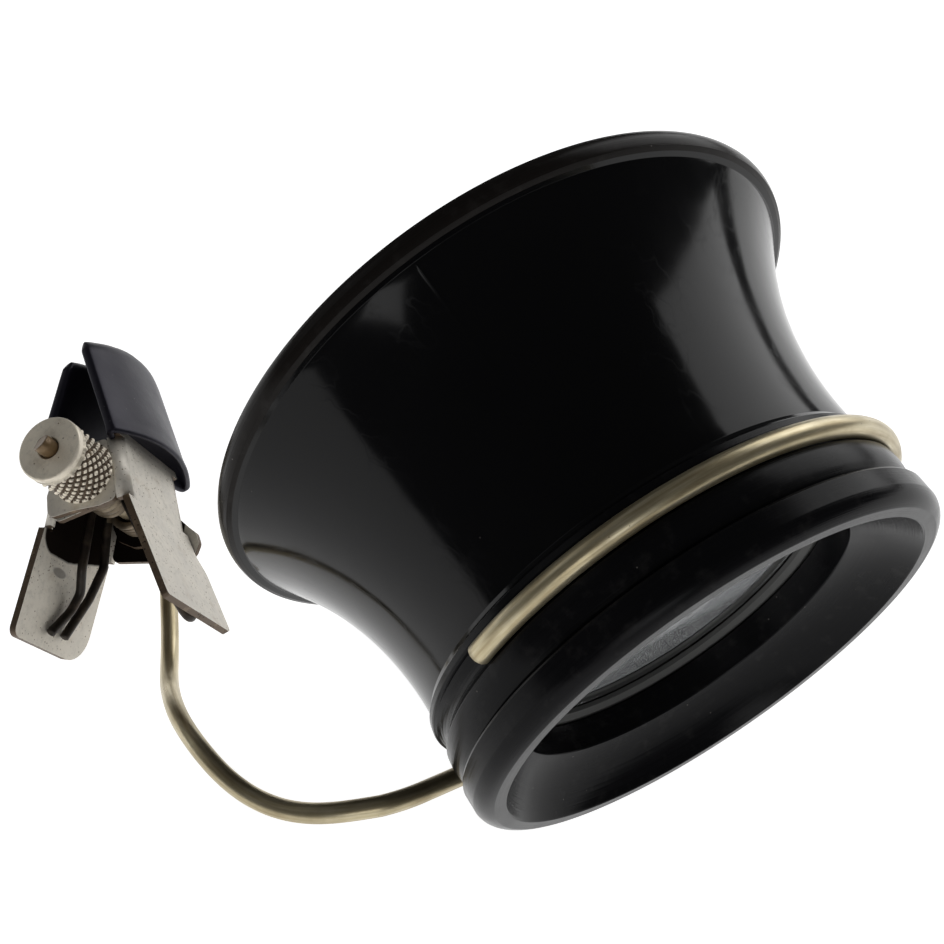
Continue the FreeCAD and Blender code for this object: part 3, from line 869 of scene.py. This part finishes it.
REAR_NEAR_EAR = [
    (-2.2, -0.4), (-1.6, -1.75), (-0.4, -2.0), (1.1, -1.5), (1.85, -0.3), (1.7, 0.9),
    (0.8, 1.9), (-2.2, 3.2),
]
REAR_FAR_EAR = [
    (-2.2, -0.4), (-1.6, -1.75), (-0.4, -2.0), (3.1, 0.5), (3.9, 1.0), (4.25, 1.7),
    (4.1, 2.45), (3.5, 3.0), (-2.2, 3.2),
]


def strip_stations(face):
    """Points along the bent face with the way across the sheet at each."""
    line = even(rounded(face, STRIP_BEND, steps=8, closed=False), STATION_GAP)
    stations = []
    run = 0.0
    for index, point in enumerate(line):
        before, after = line[max(index - 1, 0)], line[min(index + 1, len(line) - 1)]
        along = (after - before).normalized()
        if index:
            run += (point - line[index - 1]).length
        stations.append((run, point, Vector((-along.y, along.x))))
    return stations


def clip_strip(name, face, inward, first_z, tip_radii, spread, root):
    """The bent strip of a clip plate, narrower by the folds at the root.

    tip_radii are those of the lever's near and far corners, and spread widens the lever's far side.
    """
    stations = strip_stations(face)
    end = stations[-1][0]
    extra = [end - radius * (1 - math.cos(math.radians(angle)))
             for radius in tip_radii for angle in range(0, 91, 6)]
    rows = []
    first_root, last_root = [nearest_run(stations, Vector(place)) for place in root]
    notches = [first_root, first_root + NOTCH, last_root - NOTCH, last_root]
    plain = [run for run, _, _ in stations] + extra
    runs = sorted({round(run, 4) for run in plain + notches})
    for run in runs:
        point, way = at_run(stations, run)
        cuts = []
        for radius in tip_radii:
            into = max(0.0, run - (end - radius))
            cuts.append(radius - math.sqrt(max(radius ** 2 - into ** 2, 0.0)))
        low = first_z + cuts[0]
        high = first_z + PLATE_WIDTH + spread * flare(run - last_root) - cuts[1]
        if first_root + NOTCH / 2 < run < last_root - NOTCH / 2:
            low += FOLD
            high -= FOLD
        shares = [column / STRIP_COLUMNS for column in range(STRIP_COLUMNS + 1)]
        rows.append([(point, way, low + (high - low) * share) for share in shares])
    points, faces, uvs = [], [], []
    for layer in (0.0, 1.0):
        for row in rows:
            for point, way, z in row:
                place = point + way * inward * SHEET * layer
                points.append((place.x, place.y, z))
                uvs.append((z - first_z, place.y))
    width = STRIP_COLUMNS + 1
    size = len(rows) * width
    for layer in (0, size):
        for row in range(len(rows) - 1):
            for column in range(STRIP_COLUMNS):
                corner = layer + row * width + column
                faces.append((corner, corner + 1, corner + width + 1, corner + width))
    rim = list(range(width))
    rim += [row * width + width - 1 for row in range(1, len(rows))]
    rim += [(len(rows) - 1) * width + column for column in range(width - 2, -1, -1)]
    rim += [row * width for row in range(len(rows) - 2, 0, -1)]
    flat_faces = len(faces)
    inner_faces = flat_faces // 2
    for index, corner in enumerate(rim):
        after = rim[(index + 1) % len(rim)]
        faces.append((corner, after, after + size, corner + size))
    obj = new_mesh(name, points, faces, CLIP, uvs)
    for index in range(inner_faces, len(faces)):
        obj.data.polygons[index].material_index = CUT_EDGE if index >= flat_faces else INNER_SIDE
    soften(obj)
    return obj


def flare(past_root):
    """How much of its widening a lever has at a distance past the root, from 0 to 1."""
    share = min(1.0, max(0.0, (past_root - SPREAD_FROM) / SPREAD_RUN))
    return share * share * (3 - 2 * share)


def nearest_run(stations, place):
    """How far along the strip the station nearest to a place is."""
    return min(stations, key=lambda station: (station[1] - place).length)[0]


def at_run(stations, run):
    """The point and the way across the sheet at a distance along the strip."""
    for (low, start, way), (high, finish, later) in zip(stations, stations[1:]):
        if run <= high + 1e-6:
            share = (run - low) / max(high - low, 1e-9)
            return start.lerp(finish, share), way.lerp(later, share).normalized()
    return stations[-1][1], stations[-1][2]


def soften(obj):
    """Bevel the sharp edges and give every face its own clean shading."""
    bevel = obj.modifiers.new("soft_edges", "BEVEL")
    bevel.width = EDGE_BEVEL * MM
    bevel.segments = 3
    bevel.limit_method = "ANGLE"
    bevel.angle_limit = math.radians(40)
    bevel.harden_normals = True


# EDGE_TILT is the most that the normal of an ear's cut edge leans along the pivot
EAR_CORNER = 0.5
EAR_HOLE = 1.0
EAR_BEVEL = 0.05
HOLE_STEPS = 48
EDGE_TILT = 0.35


def ear(name, corners, first_z, inner_way):
    """A flat ear with a round hole; inner_way is +1 where its inner side faces up the pivot."""
    outer = rounded(vectors(corners), EAR_CORNER, steps=5)
    curve = bpy.data.curves.new(name, "CURVE")
    curve.dimensions = "2D"
    curve.fill_mode = "BOTH"
    curve.extrude = SHEET / 2 - EAR_BEVEL
    curve.bevel_depth = EAR_BEVEL
    curve.bevel_resolution = 2
    curve.offset = -EAR_BEVEL
    circle = [polar(EAR_HOLE, -2 * math.pi * step / HOLE_STEPS) for step in range(HOLE_STEPS)]
    for line in (outer, circle):
        spline = curve.splines.new("POLY")
        spline.points.add(len(line) - 1)
        for target, point in zip(spline.points, line):
            target.co = (point.x, point.y, 0, 1)
        spline.use_cyclic_u = True
    holder = in_scene(name + "_outline", curve)
    bpy.context.view_layer.update()
    evaluated = holder.evaluated_get(bpy.context.evaluated_depsgraph_get())
    mesh = bpy.data.meshes.new_from_object(evaluated)
    bpy.data.objects.remove(holder)
    layer = mesh.uv_layers.active or mesh.uv_layers.new(name="UVMap")
    for loop in mesh.loops:
        layer.data[loop.index].uv = mesh.vertices[loop.vertex_index].co.xy
    mesh.transform(CLIP @ Matrix.Translation((0, 0, first_z + SHEET / 2)))
    mesh.name = name
    obj = in_scene(name, mesh)
    pivot = (CLIP.to_3x3() @ Vector((0, 0, 1))).normalized()
    for polygon in mesh.polygons:
        polygon.use_smooth = False
        polygon.material_index = SURFACE
        along = polygon.normal.dot(pivot) * inner_way
        if abs(along) < EDGE_TILT:
            polygon.material_index = CUT_EDGE
        elif along > 0:
            polygon.material_index = INNER_SIDE
    return obj


def fold(name, start, finish, inward, side_z, way):
    """The quarter bend between the strip and an ear; way is +1 where the ear is below the strip."""
    start, finish = Vector(start), Vector(finish)
    along = (finish - start).normalized()
    inside = Vector((-along.y, along.x)) * inward
    steps = 8
    profile = [(FOLD, 90 * step / steps) for step in range(steps + 1)]
    profile += [(FOLD - SHEET, angle) for angle in reversed([corner for _, corner in profile])]
    points, faces = [], []
    for end in (start, finish):
        for radius, angle in profile:
            turn = math.radians(angle)
            across = end + inside * (FOLD - radius * math.cos(turn))
            points.append((across.x, across.y, side_z + way * (FOLD - radius * math.sin(turn))))
    count = len(profile)
    for index in range(count):
        after = (index + 1) % count
        faces.append((index, after, count + after, count + index))
    faces += [tuple(range(count)), tuple(range(count, 2 * count))]
    obj = new_mesh(name, points, faces, CLIP)
    for polygon in obj.data.polygons[-2:]:
        polygon.material_index = CUT_EDGE
        polygon.use_smooth = False
    return obj


# in the order of SURFACE, CUT_EDGE and INNER_SIDE
# the inner sides take the materials with painted shade
PLATE_MATERIALS = (NICKEL, EDGE, PLATE_INSIDE_PAINTED_SHADE)
EAR_MATERIALS = (NICKEL, EDGE, EAR_INSIDE_PAINTED_SHADE)
FOLD_MATERIALS = (NICKEL, EDGE)


def plate(prefix, body, face, inward, first_z, tip_radii, spread, ears, root):
    """A bent strip with an ear folded in from each side over the root, a start and a finish."""
    strip = clip_strip(prefix + "_strip", face, inward, first_z, tip_radii, spread, root)
    fix(strip, body, "plate_nickel", PLATE_MATERIALS, prefix + "_clip_plate")
    for side, (corners, z) in zip(("near", "far"), ears):
        piece = ear("%s_%s_ear" % (prefix, side), corners, z, 1 if side == "near" else -1)
        fix(piece, body, "plate_nickel", EAR_MATERIALS)
    for side, side_z, way in (("near", first_z, 1), ("far", first_z + PLATE_WIDTH, -1)):
        bend = fold("%s_%s_fold" % (prefix, side), *root, inward, side_z, way)
        fix(bend, body, "plate_nickel", FOLD_MATERIALS)


FRONT_ROOT = ((1.787, -2.807), (3.405, 1.285))
REAR_ROOT = ((-3.05, -0.4), (-3.05, 3.2))
plate("front", "clip", FRONT_FACE, 1, 0.0, (0.3, 0.45), 0.7,
      [(FRONT_NEAR_EAR, 0.0), (FRONT_FAR_EAR, PLATE_WIDTH - SHEET)], FRONT_ROOT)
plate("rear", "rear_jaw", REAR_FACE, -1, REAR_Z, (0.6, 2.1), 0.0,
      [(REAR_NEAR_EAR, REAR_Z), (REAR_FAR_EAR, REAR_Z + PLATE_WIDTH - SHEET)], REAR_ROOT)


# ---------------------------------------------------------------- jaw sleeves

# the sleeve's half thickness: at its edges, and at the crown outside and inside the jaw
SLEEVE_EDGE = 0.58
OUTER_CROWN = 1.7
INNER_CROWN = 0.6
SLEEVE_SIDES = 64
# how far the tip's middle stands ahead of its sides, the share of the length that rounds off
# there, and the share of the thickness left at the very tip
TIP_ARCH = 0.9
TIP_SHARE = 0.14
TIP_THICKNESS = 0.14
# how wide the tip starts, and how fast it reaches the full width
TIP_WIDTH = 0.93
TIP_WIDENING = 9
# how square the section is at its sides and on its faces, 1 being an ellipse
SIDE_POWER = 0.8
FACE_POWER = 0.45
ARCH_MIDDLE = 0.55
LIP_LEAN = 0.2
STATIONS = [0.0, 0.012, 0.035, 0.07, 0.11, 0.16, 0.22, 0.3, 0.4, 0.5, 0.6, 0.7, 0.8, 0.88, 0.93]
# the rolled lip at the open end, as (share of the length, how far in from the surface)
LIP = [(1.008, -0.06), (1.024, -0.04), (1.034, 0.04), (1.034, 0.16), (1.02, 0.27), (0.93, 0.34)]


def power(value, exponent):
    """The value to a power, with its sign kept."""
    return math.copysign(abs(value) ** exponent, value)


def tip_scale(share):
    """The thickness near the tip, which rounds off as a quarter circle."""
    if share >= TIP_SHARE:
        return 1.0
    left = 1 - share / TIP_SHARE
    return math.sqrt(max(0.0, 1 - left ** 2)) * (1 - TIP_THICKNESS) + TIP_THICKNESS


def sleeve(name, face, inward, length, middle_z, half_width, over):
    """A soft tube flattened over a jaw: crowned faces, a rounded tip and an open root end."""
    tip, root = Vector(face[0]), Vector(face[1])
    along = (root - tip).normalized()
    inside = Vector((-along.y, along.x)) * inward
    start = tip + inside * SHEET * 0.5 - along * over
    points = []
    rings = [(share, tip_scale(share), 0.0) for share in STATIONS]
    rings += [(share, 1.0, inset) for share, inset in LIP]
    for share, scale, inset in rings:
        width = TIP_WIDTH + (1 - TIP_WIDTH) * min(1.0, share * TIP_WIDENING)
        for step in range(SLEEVE_SIDES):
            angle = 2 * math.pi * step / SLEEVE_SIDES
            facing = math.cos(angle)
            across = power(math.sin(angle), SIDE_POWER) * (half_width - inset)
            lobe = 1 - (across / half_width) ** 2
            crown = OUTER_CROWN if facing < 0 else INNER_CROWN
            thick = (SLEEVE_EDGE + (crown - SLEEVE_EDGE) * lobe) * abs(facing) ** FACE_POWER
            depth = math.copysign(max(thick * scale - inset, 0.0), facing)
            tail = (1 - share) * TIP_ARCH * (lobe - ARCH_MIDDLE)
            place = start + along * (share * length - tail + inset * LIP_LEAN) + inside * depth
            points.append((place.x, place.y, middle_z + across * width))
    return new_mesh(name, points, tube_faces(len(rings), SLEEVE_SIDES), CLIP)


FRONT_SLEEVE_Z = PLATE_WIDTH / 2 + 0.55
REAR_SLEEVE_Z = REAR_Z + PLATE_WIDTH / 2 + 0.2
front_sleeve = sleeve("front_sleeve", FRONT_FACE, 1, 7.9, FRONT_SLEEVE_Z, 5.15, 1.1)
fix(front_sleeve, "clip", "sleeve_vinyl", [VINYL], "front_jaw_sleeve")
rear_sleeve = sleeve("rear_sleeve", REAR_FACE, -1, 6.6, REAR_SLEEVE_Z, 4.8, 1.0)
fix(rear_sleeve, "rear_jaw", "sleeve_vinyl", [VINYL], "rear_jaw_sleeve")


# ---------------------------------------------------------------- pivot tube and thumb nut

TUBE = [
    (0.67, -0.03), (0.95, -0.03), (0.95, 8.67), (1.7, 8.67), (1.75, 8.72), (1.72, 8.82),
    (1.3, 9.02), (0.75, 9.15), (0.67, 9.1),
]
tube = lathe("pivot_tube_body", CLIP, dense(vectors(TUBE), 0.6), 72)
fix(tube, "clip", "tube_brass", [TUBE_BRASS], "pivot_tube")

NUT_RADIUS = 2.1
NUT_BORE = 0.66
NUT_FOOT = [(NUT_BORE, -0.12), (1.8, -0.12), (1.92, -0.2)]
NUT_HEAD = [
    (1.78, -3.5), (1.76, -3.68), (2.02, -3.74), (2.1, -3.8), (2.1, -4.12), (2.06, -4.2),
    (1.98, -4.25), (1.85, -4.25), (0.74, -4.25), (NUT_BORE, -4.18),
]
KNURL_COUNT = 20
KNURL_SIDES = 12
KNURL_ROWS = 52
KNURL_DEPTH = 0.3
KNURL_POWER = 2.2
KNURL_START = -3.45
KNURL_END = -0.32
RECESS_FROM = 0.3


def knurl(angle, z):
    """How far the diamond knurl is cut in, from 0 on a ridge to 1 in a groove's floor."""
    turn = KNURL_COUNT * angle / (2 * math.pi)
    climb = z / (2 * math.pi * NUT_RADIUS / KNURL_COUNT)
    left = abs(((turn + climb) % 1.0) - 0.5) * 2
    right = abs(((turn - climb) % 1.0) - 0.5) * 2
    return max(left, right) ** KNURL_POWER


def thumb_nut():
    """Collar and end disc turned smooth, with the knurl cut into the wall between."""
    sides = KNURL_COUNT * KNURL_SIDES
    rise = (KNURL_END - KNURL_START) / KNURL_ROWS
    wall = [Vector((NUT_RADIUS, KNURL_START + rise * step)) for step in range(KNURL_ROWS, -1, -1)]
    foot = dense(vectors(NUT_FOOT), 0.4, False)
    head = dense(vectors(NUT_HEAD), 0.35, False)
    profile = foot + wall + head + [Vector((NUT_BORE, -0.2))]
    # the wall's end rows stay uncut, as plain edges
    knurled = range(len(foot) + 1, len(foot) + len(wall) - 1)
    points, recess = [], []
    for column in range(sides):
        angle = 2 * math.pi * column / sides
        for row, (radius, z) in enumerate(profile):
            depth = knurl(angle, z) if row in knurled else 0.0
            recess.append(depth)
            points.append((*polar(radius - KNURL_DEPTH * depth, angle), z))
    faces = turned_faces(sides, len(profile))
    obj = new_mesh("thumb_nut_body", points, faces, CLIP)
    for polygon, face in zip(obj.data.polygons, faces):
        deep = sum(recess[corner] for corner in face) / len(face) > RECESS_FROM
        polygon.material_index = 1 if deep else 0
    return obj


fix(thumb_nut(), "nut", "nut_nickel", (NUT_FACE, NUT_RECESS), "thumb_nut")


# ---------------------------------------------------------------- torsion spring

COIL_RADIUS = 1.42
COIL_PITCH = 0.46
COIL_TURNS = 4.5
NEAR_COIL_Z = 1.45
FAR_COIL_Z = 5.4
SPRING_RADIUS = 0.31
SPRING_GAP = 0.3
LEG_BEND = 1.2
LOOP_BEND = 0.9
# the wire's thickness in the coils, as a share of that in the legs; the turns press together
COIL_SHARE = 0.84
COIL_STEPS = 40
COIL_MARGIN = 0.35
# the wire follows the front plate beyond this distance from the pivot, and the rear plate beyond
# it on the other side
REAR_LEGS = [
    [(-1.5, 5.0, 3.9), (-1.9, 6.4, 4.9), (-2.35, 7.6, 4.95), (-2.72, 9.4, 3.75)],
    [(-1.5, 4.2, 6.35), (-2.1, 6.4, 6.3), (-2.72, 9.3, 5.3)],
]
FRONT_LEGS = [
    [(4.27, 4.13, 2.0), (5.96, 6.8, 2.9), (6.68, 7.94, 3.9)],
    [(4.27, 4.13, 6.2), (5.96, 6.8, 5.4), (6.68, 7.94, 4.7)],
]


def coil(first_z, turns, start_angle):
    """A helix about the pivot from a start angle in degrees."""
    steps = int(turns * COIL_STEPS)
    out = []
    for step in range(steps + 1):
        angle = math.radians(start_angle) + 2 * math.pi * turns * step / steps
        z = first_z + COIL_PITCH * turns * step / steps
        out.append(Vector((*polar(COIL_RADIUS, angle), z)))
    return out


def spring_line():
    """One wire: a leg, the near coil, the loop on the front lever, the far coil, a leg.

    Each stretch is its points and the share of the wire's thickness that they have.
    """
    near = list(reversed(coil(NEAR_COIL_Z, COIL_TURNS, 0.0)))
    far = coil(FAR_COIL_Z, COIL_TURNS, 180.0)
    first_leg = vectors(REAR_LEGS[0][::-1])
    last_leg = vectors(REAR_LEGS[1])
    loop = vectors(FRONT_LEGS[0] + FRONT_LEGS[1][::-1])
    first = rounded(first_leg + [near[0]], LEG_BEND, 8, closed=False)
    far_start = Vector((COIL_RADIUS, 0, FAR_COIL_Z + COIL_PITCH * COIL_TURNS))
    middle = rounded([near[-1]] + loop + [far_start], LOOP_BEND, 8, closed=False)
    last = rounded([Vector((-COIL_RADIUS, 0, FAR_COIL_Z))] + last_leg, LEG_BEND, 8, closed=False)
    return [
        (even(first, SPRING_GAP)[:-1], 1.0), (near, COIL_SHARE),
        (even(middle, SPRING_GAP)[1:-1], 1.0), (far[::-1], COIL_SHARE),
        (even(last, SPRING_GAP)[1:], 1.0),
    ]


stretches = spring_line()
spring_points = [point for points, _ in stretches for point in points]
spring_widths = [share for points, share in stretches for _ in points]
spring = sweep("torsion_spring_wire", CLIP, spring_points, SPRING_RADIUS, 16, 0.7, spring_widths)
spring.data.materials.append(SPRING)
spring.data.materials.append(COIL)
to_clip = CLIP.inverted()
# the coil's turns take the lighter copy, whose colour is painted light
for polygon in spring.data.polygons:
    place = to_clip @ polygon.center
    in_coil = math.hypot(place.x, place.y) < COIL_RADIUS + COIL_MARGIN
    polygon.material_index = 1 if in_coil else 0
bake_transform(spring)
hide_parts("torsion_spring")


# ---------------------------------------------------------------- floor, lights and camera

FLOOR_HALF = 3.0
FLOOR_Z = -0.00005


def floor():
    mesh = bpy.data.meshes.new("floor")
    ways = ((-1, -1), (1, -1), (1, 1), (-1, 1))
    corners = [(FLOOR_HALF * x, FLOOR_HALF * y, FLOOR_Z) for x, y in ways]
    mesh.from_pydata(corners, [], [(0, 1, 2, 3)])
    obj = in_scene("floor", mesh)
    obj.data.materials.append(floor_paper())


def softbox(name, place, width, height, watts):
    """A rectangular light at a place in metres, aimed at the object's middle."""
    light = bpy.data.lights.new(name, "AREA")
    light.shape = "RECTANGLE"
    light.size = width
    light.size_y = height
    light.energy = watts
    obj = in_scene(name, light)
    obj.location = place
    obj.rotation_euler = (OBJECT_MIDDLE - Vector(place)).to_track_quat("-Z", "Y").to_euler()


def sky():
    """A dim, slightly cool world."""
    world = bpy.data.worlds.new("studio")
    world.use_nodes = True
    back = world.node_tree.nodes["Background"]
    back.inputs["Color"].default_value = (0.92, 0.93, 0.95, 1)
    back.inputs["Strength"].default_value = 0.07
    bpy.context.scene.world = world


# the camera's place from the middle of the cup's front, in millimetres, and the ways it faces
CAMERA_OFFSET = Vector((-38.122, -30.398, 55.948))
CAMERA_RIGHT = Vector((0.8568, -0.51476, 0.0304))
CAMERA_FORWARD = Vector((0.38928, 0.60702, -0.69281))


def camera():
    """The photograph's viewing angle."""
    view = bpy.data.cameras.new("camera")
    view.sensor_width = 36.0
    view.lens = 51.3
    view.shift_x = 0.0424
    view.shift_y = 0.0424
    view.clip_start = 0.002
    obj = in_scene("camera", view)
    right = CAMERA_RIGHT.normalized()
    forward = CAMERA_FORWARD.normalized()
    up = right.cross(forward)
    turn = Matrix((right, up, -forward)).transposed()
    obj.matrix_world = Matrix.Translation(CUP.translation + CAMERA_OFFSET * MM) @ turn.to_4x4()
    bpy.context.scene.camera = obj


OBJECT_MIDDLE = Vector((0, 0, 0.015))
floor()
sky()
camera()
softbox("right", (0.95, 0.25, 0.6), 0.9, 1.0, 6.0)
softbox("left", (-0.75, 0.75, 0.6), 0.7, 0.7, 0.5)
softbox("front", (-0.5, -0.9, 0.35), 0.6, 0.4, 1.5)
bpy.context.scene.view_settings.view_transform = "Standard"
